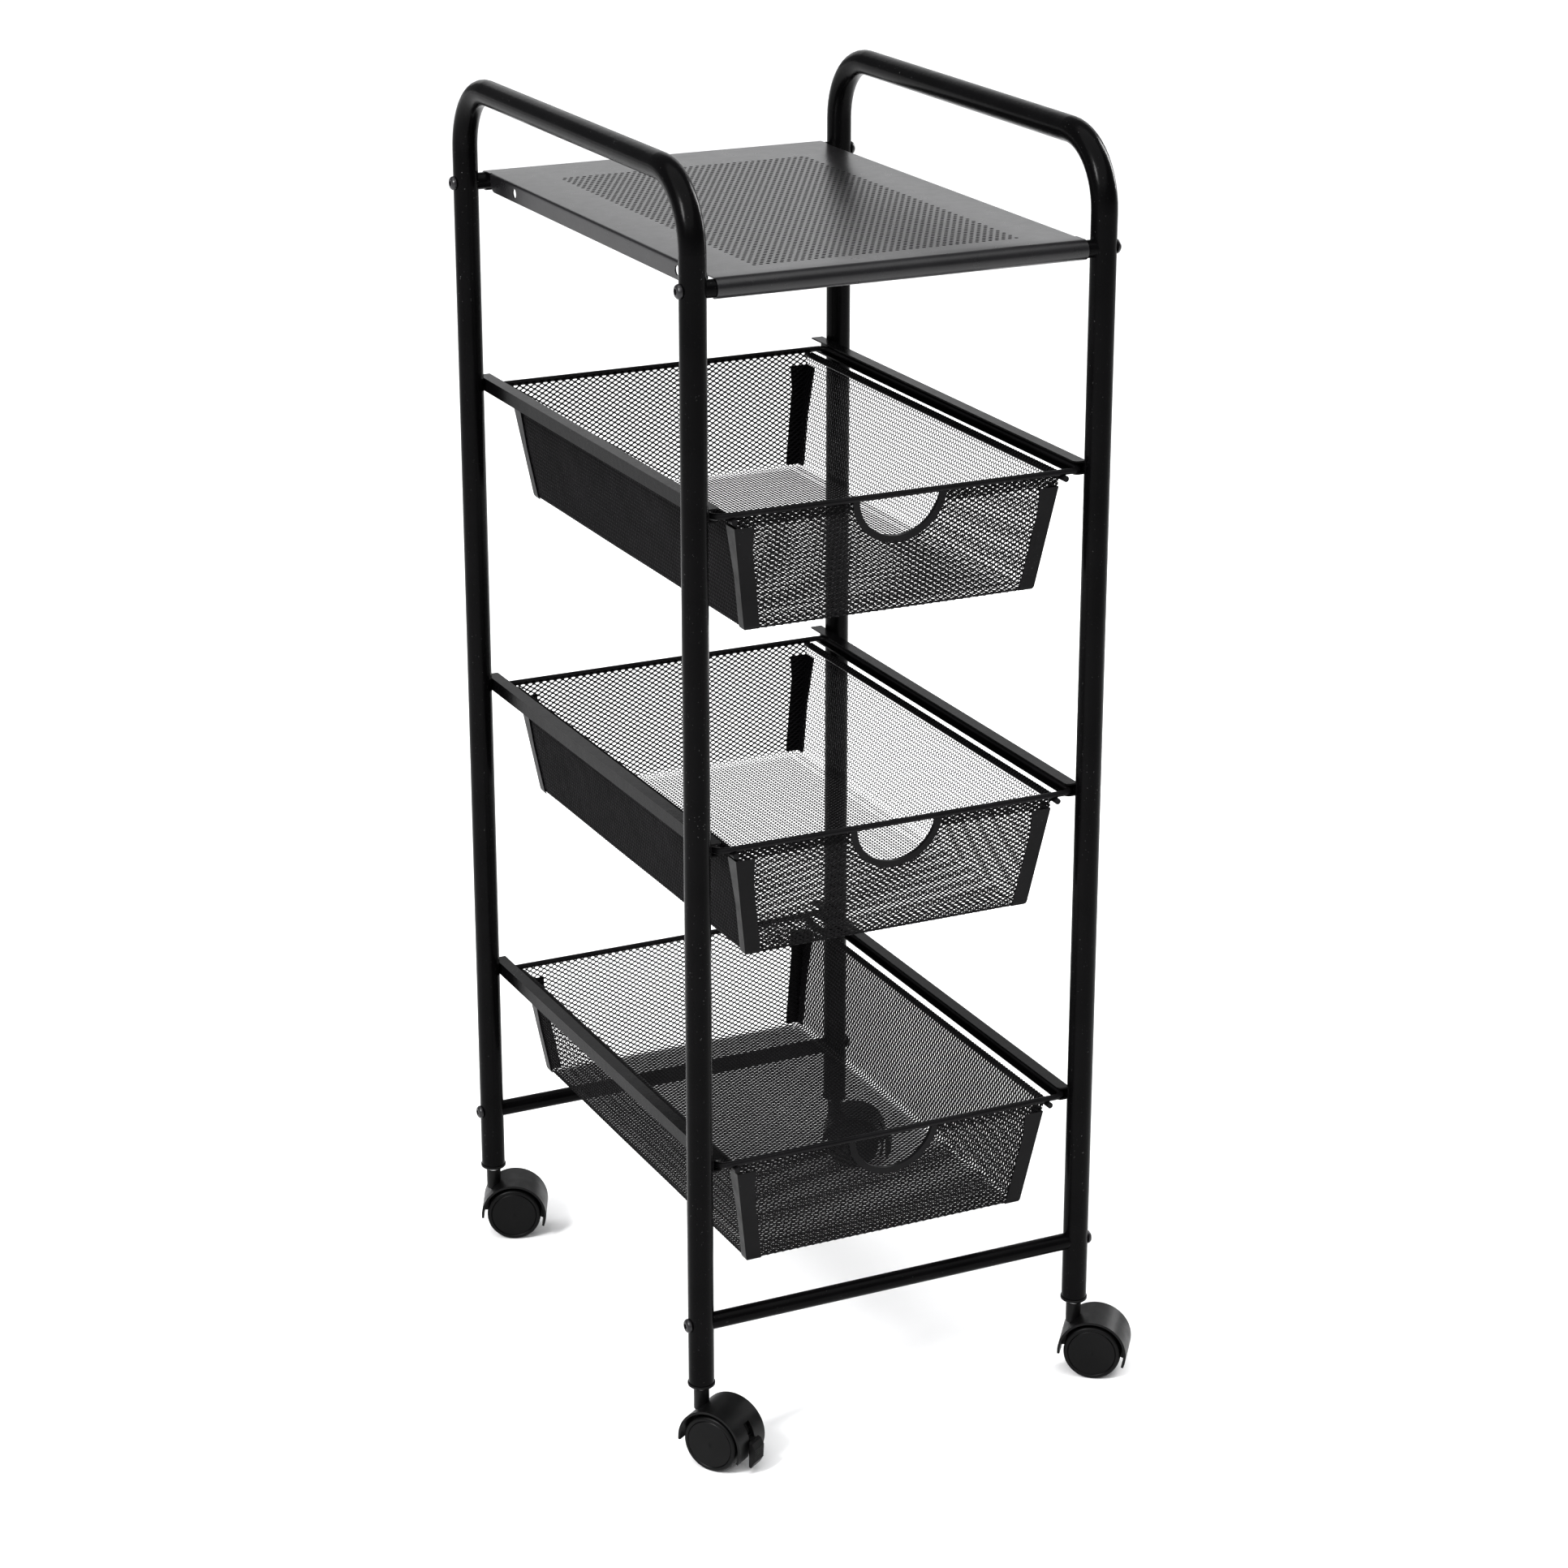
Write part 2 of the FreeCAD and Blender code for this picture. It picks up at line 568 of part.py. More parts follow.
def caster_wheel():
    """The wheel on the +Y side: a crowned cover inside a ring groove, a hollow inner side, a blind hub."""
    cap = WHEEL_OUT_Y - WHEEL_CAP
    web = cap - WHEEL_WEB
    outline = [(AXLE_R + AXLE_RUN, WHEEL_IN_Y), (WHEEL_HUB_R, WHEEL_IN_Y), (WHEEL_HUB_R, web)]
    outline += [(WHEEL_RIM_IN_R, web), (WHEEL_RIM_IN_R, WHEEL_IN_Y)]
    outline += [(WHEEL_R - WHEEL_BEVEL, WHEEL_IN_Y), (WHEEL_R, WHEEL_IN_Y + WHEEL_BEVEL)]
    outline += [(WHEEL_R, WHEEL_OUT_Y), (WHEEL_GROOVE_R + WHEEL_GROOVE, WHEEL_OUT_Y)]
    outline += [(WHEEL_GROOVE_R, WHEEL_OUT_Y - WHEEL_GROOVE), (WHEEL_GROOVE_R - WHEEL_GROOVE, WHEEL_OUT_Y)]
    outline += [(0, WHEEL_OUT_Y + WHEEL_CROWN), (0, cap), (AXLE_R + AXLE_RUN, cap)]
    points = [V(TRAIL, y, WHEEL_R + r) for r, y in outline]
    face = Part.Face(Part.makePolygon(points + points[:1]))
    wheel = face.revolve(V(TRAIL, 0, WHEEL_R), Y_AXIS, 360)
    outside = [edge for edge in wheel.Edges if edge.BoundBox.YMin > WHEEL_OUT_Y - TINY]
    rim = [edge for edge in outside if edge.BoundBox.ZMax > 2 * WHEEL_R - TINY]
    return wheel.makeFillet(WHEEL_SHOULDER, rim)


def placed(shape, caster):
    """A caster's piece, turned about its stem and moved under its post."""
    x, y, turn = CASTERS[caster]
    piece = shape.copy()
    piece.rotate(ORIGIN, Z_AXIS, turn)
    piece.translate(V(x, y, 0))
    return piece


def frame_parts():
    parts = {"right_side_frame": side_frame()}
    parts["left_side_frame"] = mirrored_x(parts["right_side_frame"])
    names = ("top_front_tube", "top_rear_tube", "bottom_front_tube", "bottom_rear_tube")
    for name, place in zip(names, cross_tube_places()):
        parts[name] = cross_tube(*place)
    parts["shelf_panel"] = shelf_panel()
    for level, top in RAIL_TOPS.items():
        parts[f"{level}_right_rail"] = rail(top)
        parts[f"{level}_left_rail"] = mirrored_x(parts[f"{level}_right_rail"])
    parts["frame_bolts"] = at_every_tube_end(frame_bolt())
    parts["tube_end_plugs"] = at_every_tube_end(tube_plug())
    parts["caster_sockets"] = Part.makeCompound([placed(caster_socket(), name) for name in CASTERS])
    parts["caster_stems"] = Part.makeCompound([placed(caster_stem(), name) for name in CASTERS])
    return parts


def drawer_parts():
    shapes = {"basket": basket(), "corner_guards": corner_guards(), "handle_trim": handle_trim()}
    shapes["wire_frame"] = wire_loop(0)
    shapes["rim_rods"] = rim_rods(0)
    parts = {}
    for level, top in RAIL_TOPS.items():
        for name, shape in shapes.items():
            piece = shape.copy()
            piece.translate(V(0, 0, top - WIRE_DROP))
            parts[f"{level}_drawer_{name}"] = piece
    return parts


def caster_parts():
    wheel = caster_wheel()
    parts = {}
    for name in CASTERS:
        parts[f"{name}_hood"] = placed(caster_hood(name in BRAKED), name)
        parts[f"{name}_axle"] = placed(caster_axle(), name)
        parts[f"{name}_outer_wheel"] = placed(mirrored_y(wheel), name)
        parts[f"{name}_inner_wheel"] = placed(wheel, name)
    for name in BRAKED:
        parts[f"{name}_brake_lever"] = placed(brake_lever(), name)
        parts[f"{name}_brake_pin"] = placed(lever_pin(), name)
    return parts


def centred(parts):
    """All parts moved together, so that the cart's box stands centred over the origin."""
    whole = Part.makeCompound(list(parts.values())).optimalBoundingBox(False, False)
    move = V(-whole.Center.x, -whole.Center.y, -whole.ZMin)
    for shape in parts.values():
        shape.translate(move)
    print("moved by", round(move.x, 4), round(move.y, 4), round(move.z, 4))
    return parts


def main():
    os.makedirs("parts", exist_ok=True)
    parts = {**frame_parts(), **drawer_parts(), **caster_parts()}
    for name, shape in centred(parts).items():
        shape.exportStep(os.path.join("parts", name + ".step"))
        print(name, shape.isValid(), len(shape.Solids), round(shape.Volume, 1))


main()
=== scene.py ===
import math
import random

import bmesh
import bpy
import numpy as np
from mathutils import Matrix, Vector
from mathutils.geometry import tessellate_polygon


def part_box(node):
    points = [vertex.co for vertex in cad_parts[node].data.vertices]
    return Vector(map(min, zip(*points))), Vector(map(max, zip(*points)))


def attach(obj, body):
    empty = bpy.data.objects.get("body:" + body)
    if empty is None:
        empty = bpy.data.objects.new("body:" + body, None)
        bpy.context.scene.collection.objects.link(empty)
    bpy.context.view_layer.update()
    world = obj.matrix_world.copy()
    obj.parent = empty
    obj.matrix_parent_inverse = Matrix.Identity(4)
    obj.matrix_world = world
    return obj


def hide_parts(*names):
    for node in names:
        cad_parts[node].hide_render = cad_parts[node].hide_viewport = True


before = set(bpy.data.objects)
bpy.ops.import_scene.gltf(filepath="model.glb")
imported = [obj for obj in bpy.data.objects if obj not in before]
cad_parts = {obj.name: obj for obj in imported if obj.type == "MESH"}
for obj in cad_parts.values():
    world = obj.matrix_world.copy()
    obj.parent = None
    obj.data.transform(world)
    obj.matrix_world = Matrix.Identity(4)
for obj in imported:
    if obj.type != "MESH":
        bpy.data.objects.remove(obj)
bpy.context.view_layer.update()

# A rolling cart in satin black: bent tube frames, a perforated shelf, three expanded-metal drawers
# and twin-wheel casters. Pieces are built in millimetres round the middle of the four posts, with Z
# up from the floor, and then placed in the row frame, which is in metres.

MM = 0.001
LEVELS = ("top", "middle", "bottom")
HEM_SEED = 7

# Shelf: a folded sheet with a field of staggered holes, curled over both cross tubes
SHEET = 1.0
SHELF_HALF_X = 142.5
SHELF_LIFT = 0.05
SHELF_SMOOTH_DEG = 30
TUBE_R = 6.35
POST_Y = 207.5
CURL_DEG = 200.0
CURL_STEPS = 14
HOLE_R = 1.5
HOLE_SIDES = 12
HOLE_FIRST_DEG = 225
HOLE_STEP_X = 5.2
HOLE_STEP_Y = 4.5
FIELD_COLUMNS = 40
FIELD_ROWS = 76
FIELD_FRONT_Y = -186.0
FLANGE_H = 13.5
FLANGE_END = 196.5
FLANGE_CORNER_R = 8.0
FLANGE_CORNER_STEPS = 6
FLANGE_FOLD_R = 2.0
FLANGE_FOLD_STEPS = 4
FLANGE_HOLE_R = 3.6
FLANGE_HOLE_Y = 148.0
FLANGE_HOLE_DROP = 7.0
FLANGE_HOLE_SIDES = 20
FLAT_HALF_X = SHELF_HALF_X - FLANGE_FOLD_R
SAME_HEIGHT = 0.01

# Drawer baskets. Heights are measured from the centre of the drawer's wire loop, and a pair of
# half sizes is first across the drawer, then from front to rear.
BASKET_TOP = -1.0
BASKET_BOTTOM = -90.0
TOP_HALF = (128.2, 204.4)
BOTTOM_HALF = (114.0, 191.5)
BASE_FOLD_R = 5.0
BASE_FOLD_STEPS = 6
FLOOR_INSET = 6.0
FLOOR_SAG = 0.5
WALL_WAVE = 0.35
WAVE_ACROSS = 31
WAVE_DOWN = 23
SKIN = 0.1

# The side walls wrap up over a rim rod, and the rear wall laps up in front of its wire.
RIM_ROD = (130.0, -4.4)
RIM_FOLD_STEPS = 8
RIM_EDGE_GAP = 0.8
SIDE_HEM = 2.4
REAR_LAP = (-0.1, 1.6)

# The front wall's finger cut-out, under the half ring, and the edge folded down beside it
TRIM_MIDDLE_R = 34.5
TRIM_OUT_R = 37.2
HEM_FOOT = -10.4
HEM_TOP = -2.5
HEM_GAP = 0.45
HEM_JITTER = 0.22

# Expanded metal. A hole is a six-sided diamond with its long sides flattened. One of those sides
# lies above the sheet and the other below it, by the tilt of the strands.
MESH_SHEET = 0.26
MESH_STEP = (6.2, 3.9)
STRAND = 1.18
HOLE_FLAT = 0.30
HOLE_FULL = 0.92
OPEN_TILT = -0.45
DENSE_TILT = 0.36
CUT_SNAP = 1e-4

# Studio, in metres in the row frame
FLOOR_REACH = 30.0
WORLD_COLOUR = (0.96, 0.97, 1.0, 1.0)
WORLD_STRENGTH = 0.30
VIEW_GAMMA = 0.86
SKY_PLACE = (-1.0, -1.0, 3.0)
SKY_STRENGTH = 3.2
SKY_ANGLE_DEG = 95
SOFTBOXES = {
    "Key_softbox": {"place": (-2.4, -0.9, 2.3), "aim": (0, 0, 0.6), "size": (0.5, 0.8), "watts": 80},
    "Rim_softbox": {"place": (2.4, 0.6, 1.6), "aim": (0, 0, 0.5), "size": (0.5, 1.6), "watts": 55},
    "Back_scrim": {"place": (1.7, 3.4, 2.1), "aim": (0, 0, 0.9), "size": (4.0, 1.9), "watts": 25},
}

# The photograph's view: from the front, to the left and above. The place is in millimetres.
CAMERA_PLACE = (-1201.4, -2513.1, 1444.9)
CAMERA_DOWN_DEG = 19.86
CAMERA_TURN_DEG = 25.73
CAMERA_LENS = 88.54
CAMERA_SENSOR = 36.0
CAMERA_REACH = 200.0


def place_in_frame():
    """The move from the posts' middle, in millimetres, to the row frame, in metres."""
    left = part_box("left_side_frame")
    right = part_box("right_side_frame")
    x = (left[0].x + right[1].x) / 2
    y = (left[0].y + left[1].y) / 2
    return Matrix.Translation((x, y, 0)) @ Matrix.Scale(MM, 4)


TO_ROW = place_in_frame()


# Materials

# Parts of a noise's range that a ramp spreads from 0 to 1
MIDDLE = (0.35, 0.65)
WIDE = (0.3, 0.7)
UPPER = (0.35, 0.7)
FEW = (0.45, 0.7)
RARE = (0.735, 0.765)

# A Mix node's sockets for colours, whose names are not unique
MIX_SHARE, MIX_FIRST, MIX_SECOND = 0, 6, 7
MIX_RESULT = 2

# Noise scales, per metre
BLOTCHES = 28.0
SPECKS = 650.0
SPECK_PATCHES = 14.0
COAT_STREAKS = 90.0
FLOW_MARKS = 60.0
RUBBED_PATCHES = 120.0
METAL_CLOUDS = 180.0
METAL_DULLING = 400.0
PAPER_TONE = 3.0
PAPER_TOOTH = 40.0

# How many times longer and deeper a coat's waves are than its orange peel
PEEL_TO_WAVES = 7
WAVE_DEPTHS = 3

# The studio floor's paper
PAPER_GREYS = (0.90, 0.93)
PAPER_ROUGH = (0.85, 0.95)
PAPER_SPECULAR = 0.1

# Tints of the near-black greys, the grey of a speck of dust, and the share of specks where it is clean
COAT_BLUE = 0.12
PLASTIC_BLUE = 0.05
SPECK_GREY = 0.18
CLEAN_DUST = 0.1


class Nodes:
    """A material's node tree with short calls to add and join nodes."""

    def __init__(self, name):
        self.material = bpy.data.materials.new(name)
        self.material.use_nodes = True
        self.tree = self.material.node_tree
        self.shader = self.tree.nodes["Principled BSDF"]
        self.place = self.add("ShaderNodeTexCoord").outputs["Object"]

    def add(self, kind, **inputs):
        node = self.tree.nodes.new(kind)
        for key, value in inputs.items():
            self.feed(node.inputs[key], value)
        return node

    def feed(self, socket, value):
        if isinstance(value, bpy.types.NodeSocket):
            self.tree.links.new(value, socket)
        else:
            socket.default_value = value

    def noise(self, scale, detail=2.0, rough=0.5):
        node = self.add("ShaderNodeTexNoise", Vector=self.place, Scale=scale, Detail=detail,
                        Roughness=rough)
        return node.outputs["Fac"]

    def ramp(self, value, span, out=(0.0, 1.0)):
        node = self.add("ShaderNodeMapRange")
        for socket, number in zip(node.inputs, (value, *span, *out)):
            self.feed(socket, number)
        return node.outputs["Result"]

    def times(self, first, second):
        node = self.add("ShaderNodeMath")
        node.operation = "MULTIPLY"
        self.feed(node.inputs[0], first)
        self.feed(node.inputs[1], second)
        return node.outputs["Value"]

    def mix(self, share, first, second):
        node = self.add("ShaderNodeMix")
        node.data_type = "RGBA"
        self.feed(node.inputs[MIX_SHARE], share)
        self.feed(node.inputs[MIX_FIRST], first)
        self.feed(node.inputs[MIX_SECOND], second)
        return node.outputs[MIX_RESULT]

    def bump(self, height, depth, under=None):
        node = self.add("ShaderNodeBump", Height=height, Distance=depth)
        if under is not None:
            self.feed(node.inputs["Normal"], under)
        return node.outputs["Normal"]

    def surface(self, colour, roughness, normal=None, specular=0.5, metallic=0.0):
        """Finishes the material. Its plain numbers are set on the shader's own sockets."""
        inputs = self.shader.inputs
        self.feed(inputs["Base Color"], colour)
        self.feed(inputs["Roughness"], roughness)
        if normal is not None:
            self.feed(inputs["Normal"], normal)
        inputs["Specular IOR Level"].default_value = specular
        inputs["Metallic"].default_value = metallic
        return self.material


def grey(value, blue=0.0):
    """A near-neutral colour, with a trace more red and blue than green."""
    return (value * (1 + blue / 2), value, value * (1 + blue), 1.0)


def coated(name, tone, rough, grain, depth, specular, dust):
    """Sprayed and baked coat: soft blotches, a fine orange-peel grain, and a few pale specks."""
    n = Nodes(name)
    blotch = n.ramp(n.noise(BLOTCHES, detail=3.0), MIDDLE)
    colour = n.mix(blotch, grey(tone[0], COAT_BLUE), grey(tone[1], COAT_BLUE))
    specks = n.ramp(n.noise(SPECKS, detail=1.0), RARE)
    dusty = n.ramp(n.noise(SPECK_PATCHES), FEW, (CLEAN_DUST * dust, dust))
    colour = n.mix(n.times(specks, dusty), colour, grey(SPECK_GREY))
    roughness = n.ramp(n.noise(COAT_STREAKS, detail=4.0, rough=0.6), WIDE, rough)
    peel = n.bump(n.noise(grain), depth)
    waves = n.bump(n.noise(grain / PEEL_TO_WAVES, detail=1.0), depth * WAVE_DEPTHS, peel)
    return n.surface(colour, roughness, waves, specular)


def moulded(name, tone, rough, grain, depth, specular):
    """Moulded plastic: a fine pebbled skin, faint flow marks and rubbed, shinier patches."""
    n = Nodes(name)
    flow = n.ramp(n.noise(FLOW_MARKS, detail=4.0, rough=0.6), UPPER)
    colour = n.mix(flow, grey(tone[0], PLASTIC_BLUE), grey(tone[1], PLASTIC_BLUE))
    roughness = n.ramp(n.noise(RUBBED_PATCHES, detail=3.0), MIDDLE, rough)
    pebbles = n.bump(n.noise(grain, rough=0.6), depth)
    return n.surface(colour, roughness, pebbles, specular)


def bare_metal(name, tone, rough, grain, depth):
    """Plated or turned steel with a brushed, slightly dulled surface."""
    n = Nodes(name)
    cloud = n.ramp(n.noise(METAL_CLOUDS, detail=4.0, rough=0.7), WIDE)
    roughness = n.ramp(n.noise(METAL_DULLING, detail=3.0), WIDE, rough)
    return n.surface(n.mix(cloud, grey(tone[0]), grey(tone[1])), roughness,
                     n.bump(n.noise(grain, detail=3.0), depth), metallic=1.0)


def paper():
    """The studio's floor: pale, matt paper."""
    n = Nodes("Studio_paper")
    colour = n.mix(n.noise(PAPER_TONE), grey(PAPER_GREYS[0]), grey(PAPER_GREYS[1]))
    roughness = n.ramp(n.noise(PAPER_TOOTH), WIDE, PAPER_ROUGH)
    return n.surface(colour, roughness, specular=PAPER_SPECULAR)


FINISHES = {
    "frame_coat": coated("Frame_coat", tone=(0.0016, 0.0026), rough=(0.20, 0.26), grain=1500.0,
                         depth=0.00002, specular=0.07, dust=0.5),
    "shelf_coat": coated("Shelf_coat", tone=(0.006, 0.009), rough=(0.27, 0.30), grain=1800.0,
                         depth=0.000008, specular=0.6, dust=0.3),
    "wire_coat": coated("Wire_coat", tone=(0.004, 0.007), rough=(0.28, 0.40), grain=1900.0,
                        depth=0.00002, specular=0.12, dust=0.3),
    "mesh_coat": coated("Mesh_coat", tone=(0.004, 0.007), rough=(0.34, 0.48), grain=1700.0,
                        depth=0.00003, specular=0.10, dust=0.2),
    "bolt_black": coated("Bolt_black", tone=(0.008, 0.016), rough=(0.25, 0.40), grain=1600.0,
                         depth=0.00002, specular=0.45, dust=0.8),
    "caster_plastic": moulded("Caster_plastic", tone=(0.0022, 0.0036), rough=(0.34, 0.42),
                              grain=2200.0, depth=0.00003, specular=0.2),
    "wheel_plastic": moulded("Wheel_plastic", tone=(0.0020, 0.0034), rough=(0.34, 0.42),
                             grain=2600.0, depth=0.00003, specular=0.16),
    "socket_plastic": moulded("Socket_plastic", tone=(0.0022, 0.0036), rough=(0.32, 0.40),
                              grain=2200.0, depth=0.00002, specular=0.16),
    "stem_zinc": bare_metal("Stem_zinc", tone=(0.55, 0.72), rough=(0.25, 0.40), grain=900.0,
                            depth=0.00001),
    "axle_steel": bare_metal("Axle_steel", tone=(0.40, 0.55), rough=(0.30, 0.45), grain=900.0,
                             depth=0.00001),
    "plug_steel": bare_metal("Plug_steel", tone=(0.35, 0.50), rough=(0.35, 0.50), grain=900.0,
                             depth=0.00001),
}

FINISH_BY_END = {
    "side_frame": "frame_coat", "tube": "frame_coat", "rail": "frame_coat",
    "shelf_panel": "shelf_coat", "bolts": "bolt_black", "plugs": "plug_steel",
    "sockets": "socket_plastic", "stems": "stem_zinc", "wire_frame": "wire_coat",
    "rim_rods": "wire_coat", "basket": "mesh_coat", "corner_guards": "wire_coat",
    "handle_trim": "wire_coat", "hood": "caster_plastic", "axle": "axle_steel",
    "wheel": "wheel_plastic", "brake_lever": "caster_plastic", "brake_pin": "axle_steel",
}


def paint_cad_nodes():
    """Gives each CAD node the finish that goes with the end of its name."""
    for name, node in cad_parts.items():
        finish = next(finish for end, finish in FINISH_BY_END.items() if name.endswith(end))
        node.data.materials.clear()
        node.data.materials.append(FINISHES[finish])


# Meshes

def piece_of(name, mesh, finish, body, smooth_deg=None):
    """A piece made from a mesh in the row frame, riding on a body and taking a finish."""
    mesh.materials.clear()
    mesh.materials.append(FINISHES[finish])
    if smooth_deg is not None:
        mesh.shade_smooth()
        mesh.set_sharp_from_angle(angle=math.radians(smooth_deg))
    piece = bpy.data.objects.new(name, mesh)
    bpy.context.collection.objects.link(piece)
    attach(piece, body)
    return piece


def thickened(name, bm, thickness):
    """A new mesh in the row frame: the surface in bm given a thickness behind its face side."""
    mesh = bpy.data.meshes.new(name + "_skin")
    bm.to_mesh(mesh)
    bm.free()
    holder = bpy.data.objects.new(name + "_skin", mesh)
    bpy.context.collection.objects.link(holder)
    solid = holder.modifiers.new("Sheet", "SOLIDIFY")
    solid.thickness = thickness
    solid.offset = -1.0
    solid.use_even_offset = False
    graph = bpy.context.evaluated_depsgraph_get()
    result = bpy.data.meshes.new_from_object(holder.evaluated_get(graph))
    bpy.data.objects.remove(holder)
    bpy.data.meshes.remove(mesh)
    result.name = name
    result.transform(TO_ROW)
    return result


def arc(centre, radius, first_deg, last_deg, steps):
    """Points on an arc in a plane, both ends included."""
    points = []
    for step in range(steps + 1):
        turn = math.radians(first_deg + (last_deg - first_deg) * step / steps)
        points.append((centre[0] + radius * math.cos(turn), centre[1] + radius * math.sin(turn)))
    return points


# Shelf

class Sheet:
    """A surface built face by face, whose faces share their common points."""

    def __init__(self):
        self.points = []
        self.faces = []
        self.known = {}

    def vertex(self, x, y, z):
        key = (round(x, 3), round(y, 3), round(z, 3))
        if key not in self.known:
            self.known[key] = len(self.points)
            self.points.append(key)
        return self.known[key]

    def face(self, *corners):
        self.faces.append([self.vertex(*corner) for corner in corners])

    def rectangle(self, x0, x1, y0, y1, z):
        self.face((x0, y0, z), (x1, y0, z), (x1, y1, z), (x0, y1, z))

    def to_bmesh(self):
        bm = bmesh.new()
        made = [bm.verts.new(point) for point in self.points]
        for face in self.faces:
            corners = [made[i] for i in dict.fromkeys(face)]
            if len(corners) > 2 and not bm.faces.get(corners):
                bm.faces.new(corners)
        bmesh.ops.recalc_face_normals(bm, faces=bm.faces)
        return bm


def shelf_curl():
    """The front curl's outer surface in section: (y, z) from the flat top round the cross tube."""
    middle_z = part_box("top_front_tube")[0].z / MM + TUBE_R
    outer = TUBE_R + SHELF_LIFT + SHEET
    return arc((-POST_Y, middle_z), outer, 90, 90 + CURL_DEG, CURL_STEPS)


def perforated_field(sheet, top, lines_x, lines_y):
    """Rows of holes, each in a cell of six corners. Every other row starts half a step in."""
    half_step = HOLE_STEP_X / 2
    for row, (low, high) in enumerate(zip(lines_y, lines_y[1:])):
        first = row % 2
        if first:
            for x in (lines_x[0], lines_x[-1] - half_step):
                sheet.rectangle(x, x + half_step, low, high, top)
        for x in lines_x[first:len(lines_x) - 1 - first:2]:
            middle = x + half_step
            right = x + 2 * half_step
            rim = [sheet.vertex(*corner, top) for corner in (
                (x, low), (middle, low), (right, low), (right, high), (middle, high), (x, high))]
            # the hole's first point faces the cell's first corner, at its lower left
            circle = arc((middle, (low + high) / 2), HOLE_R, HOLE_FIRST_DEG, HOLE_FIRST_DEG + 360,
                         HOLE_SIDES)[:-1]
            hole = [sheet.vertex(*point, top) for point in circle]
            for k, corner in enumerate(rim):
                start = 2 * k
                sheet.faces.append([corner, rim[(k + 1) % len(rim)], hole[(start + 2) % HOLE_SIDES],
                                    hole[start + 1], hole[start]])


def plain_border(sheet, top, lines_x, lines_y):
    """The flat sheet round the field: strips along its sides, and rows before and behind it."""
    rows = [-POST_Y, -FLANGE_END] + lines_y + [FLANGE_END, POST_Y]
    for low, high in zip(rows, rows[1:]):
        sheet.rectangle(-FLAT_HALF_X, lines_x[0], low, high, top)
        sheet.rectangle(lines_x[-1], FLAT_HALF_X, low, high, top)
        if low < lines_y[0] or high > lines_y[-1]:
            for left, right in zip(lines_x, lines_x[1:]):
                sheet.rectangle(left, right, low, high, top)


def curls(sheet, curl, lines_x):
    """The front and rear curls, and the top's corners beside the ends of the flanges."""
    top = curl[0][1]
    lines = [-SHELF_HALF_X, -FLAT_HALF_X] + lines_x + [FLAT_HALF_X, SHELF_HALF_X]
    for side in (1, -1):
        for (y0, z0), (y1, z1) in zip(curl, curl[1:]):
            for left, right in zip(lines, lines[1:]):
                sheet.face((left, side * y0, z0), (left, side * y1, z1),
                           (right, side * y1, z1), (right, side * y0, z0))
        for left, right in (lines[:2], lines[-2:]):
            sheet.rectangle(left, right, -side * POST_Y, -side * FLANGE_END, top)


def flange(sheet, top, side, lines_y):
    """A side flange: a small fold, then a plate with rounded ends and two holes."""
    along = [-FLANGE_END] + lines_y + [FLANGE_END]
    fold = arc((FLAT_HALF_X, top - FLANGE_FOLD_R), FLANGE_FOLD_R, 90, 0, FLANGE_FOLD_STEPS)
    for (x0, z0), (x1, z1) in zip(fold, fold[1:]):
        for low, high in zip(along, along[1:]):
            sheet.face((side * x0, low, z0), (side * x1, low, z1),
                       (side * x1, high, z1), (side * x0, high, z0))
    outline = [(y, fold[-1][1]) for y in along]
    corner_y = FLANGE_END - FLANGE_CORNER_R
    corner_z = top - FLANGE_H + FLANGE_CORNER_R
    for end, first_deg in ((1, 0), (-1, -90)):
        outline += arc((end * corner_y, corner_z), FLANGE_CORNER_R, first_deg, first_deg - 90,
                       FLANGE_CORNER_STEPS)
    loops = [outline]
    for hole_y in (-FLANGE_HOLE_Y, FLANGE_HOLE_Y):
        loops.append(arc((hole_y, top - FLANGE_HOLE_DROP), FLANGE_HOLE_R, 0, -360,
                         FLANGE_HOLE_SIDES)[:-1])
    flat = [corner for loop in loops for corner in loop]
    for face in tessellate_polygon([[Vector((y, z, 0)) for y, z in loop] for loop in loops]):
        sheet.face(*[(side * SHELF_HALF_X, *flat[i]) for i in face])


def shelf():
    """The folded sheet with its staggered holes, in place of the plain CAD panel."""
    curl = shelf_curl()
    top = curl[0][1]
    half_step = HOLE_STEP_X / 2
    field_half = FIELD_COLUMNS * half_step
    lines_x = [-field_half + half_step * i for i in range(2 * FIELD_COLUMNS + 1)]
    lines_y = [FIELD_FRONT_Y + HOLE_STEP_Y * i for i in range(FIELD_ROWS + 1)]
    sheet = Sheet()
    perforated_field(sheet, top, lines_x, lines_y)
    plain_border(sheet, top, lines_x, lines_y)
    curls(sheet, curl, lines_x)
    for side in (-1, 1):
        flange(sheet, top, side, lines_y)
    bm = sheet.to_bmesh()
    top_faces = (face for face in bm.faces if face.calc_center_median().z > top - SAME_HEIGHT)
    if next(top_faces).normal.z < 0:
        bmesh.ops.reverse_faces(bm, faces=bm.faces)
    mesh = thickened("Shelf_sheet", bm, SHEET)
    piece = piece_of("Shelf_sheet", mesh, "shelf_coat", "frame", SHELF_SMOOTH_DEG)
    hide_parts("shelf_panel")


# Drawer baskets in expanded metal

